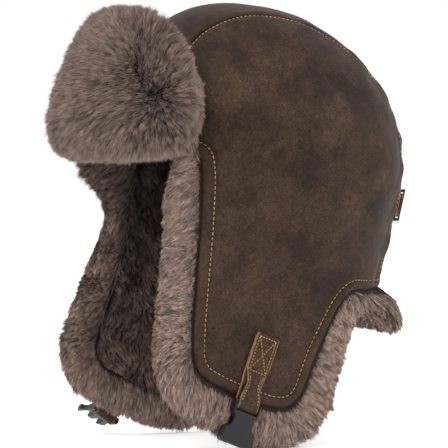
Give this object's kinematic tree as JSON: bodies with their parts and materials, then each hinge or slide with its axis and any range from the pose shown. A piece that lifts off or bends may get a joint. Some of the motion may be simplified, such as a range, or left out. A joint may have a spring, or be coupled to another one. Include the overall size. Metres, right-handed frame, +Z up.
{
  "type": "trapper hat",
  "caption": "Leather and fur winter hat with a fold-down fur visor, fold-up fur-lined ear flaps, chin straps with a side-release buckle and a rear size adjuster.",
  "frame": {"origin": "centre of the head opening, at the level of the hat's widest section, on the middle plane", "axes": "+Z up out of the crown, -Y the way the wearer looks, +X the wearer's left"},
  "size_m": [0.2169, 0.2732, 0.3253],
  "materials": {
    "leather": "aged dark brown suede-finish leather, mottled olive and gold",
    "strap_leather": "brown leather with lighter burnished edges and ochre stitching",
    "fur": "long taupe fur with pale tips",
    "fur_lining": "shorter, darker taupe fur",
    "wadding": "matte needled wadding",
    "lining": "dark brown woven lining",
    "buckle_plastic": "matte black moulded plastic",
    "ring_plastic": "matte black moulded plastic"
  },
  "bodies": {
    "root": {"crown_side_left": "leather", "crown_side_right": "leather", "crown_centre_strip": "leather", "crown_wadding_left": "wadding", "crown_wadding_right": "wadding", "crown_wadding_centre": "wadding", "crown_lining_left": "lining", "crown_lining_right": "lining", "crown_lining_centre": "lining", "sweatband": "lining", "neck_fur_edge": "fur", "temple_fur_edge_left": "fur", "temple_fur_edge_right": "fur", "adjuster_anchor": "strap_leather", "adjuster_ring": "ring_plastic", "adjuster_keeper": "strap_leather"},
    "visor": {"visor_leather": "leather", "visor_wadding": "wadding", "visor_fur": "fur"},
    "adjuster": {"adjuster_strap": "strap_leather"},
    "chin_strap_left": {"chin_strap_left": "strap_leather"},
    "chin_strap_right": {"chin_strap_right": "strap_leather"},
    "buckle_socket": {"buckle_socket": "buckle_plastic"},
    "buckle_plug": {"buckle_plug": "buckle_plastic"},
    "plug_prong_back": {"plug_prong_back": "buckle_plastic"},
    "plug_prong_front": {"plug_prong_front": "buckle_plastic"},
    "flap_left": {"flap_leather_left": "leather", "flap_wadding_left": "wadding", "flap_fur_lining_left": "fur_lining", "flap_fur_edge_left": "fur", "flap_binding_left": "strap_leather", "strap_tab_left": "strap_leather"},
    "flap_right": {"flap_leather_right": "leather", "flap_wadding_right": "wadding", "flap_fur_lining_right": "fur_lining", "flap_fur_edge_right": "fur", "flap_binding_right": "strap_leather", "strap_tab_right": "strap_leather"}
  },
  "joints": [
    {"name": "visor_fold", "type": "hinge", "parent": "root", "child": "visor", "pos_m": [0, -0.105, 0.012], "axis": [1, 0, 0], "range_deg": [0, 72]},
    {"name": "flap_left_fold", "type": "hinge", "parent": "root", "child": "flap_left", "pos_m": [0.091, -0.0845, -0.03], "axis": [-0.0658, -0.8961, 0.4389], "range_deg": [0, 140]},
    {"name": "flap_right_fold", "type": "hinge", "parent": "root", "child": "flap_right", "pos_m": [-0.091, -0.0845, -0.03], "axis": [-0.0658, 0.8961, -0.4389], "range_deg": [0, 140]},
    {"name": "chin_strap_left_swing", "type": "hinge", "parent": "flap_left", "child": "chin_strap_left", "pos_m": [0.0931, -0.05134, -0.14791], "axis": [0, -0.9336, 0.3584], "range_deg": [0, 60]},
    {"name": "chin_strap_right_swing", "type": "hinge", "parent": "flap_right", "child": "chin_strap_right", "pos_m": [-0.09313, -0.05433, -0.14635], "axis": [0, 0.829, -0.5592], "range_deg": [0, 60]},
    {"name": "buckle_socket_swivel", "type": "hinge", "parent": "chin_strap_left", "child": "buckle_socket", "pos_m": [0.0928, -0.0603, -0.17125], "axis": [0, -0.9336, 0.3584], "range_deg": [0, 70]},
    {"name": "buckle_plug_swivel", "type": "hinge", "parent": "chin_strap_right", "child": "buckle_plug", "pos_m": [-0.09283, -0.08229, -0.1878], "axis": [0, 0.829, -0.5592], "range_deg": [-82, 4]},
    {"name": "plug_prong_back_flex", "type": "hinge", "parent": "buckle_plug", "child": "plug_prong_back", "pos_m": [-0.10228, -0.0753, -0.19372], "axis": [-0.1045, 0.5561, 0.8245], "range_deg": [0, 7], "stiffness_Nm_per_rad": 0.05},
    {"name": "plug_prong_front_flex", "type": "hinge", "parent": "buckle_plug", "child": "plug_prong_front", "pos_m": [-0.10228, -0.09039, -0.18354], "axis": [0.1045, -0.5561, -0.8245], "range_deg": [0, 7], "stiffness_Nm_per_rad": 0.05},
    {"name": "adjuster_slide", "type": "hinge", "parent": "root", "child": "adjuster", "pos_m": [0, 0.0255, -0.028], "axis": [0, 0, -1], "range_deg": [0, 7]}
  ]
}
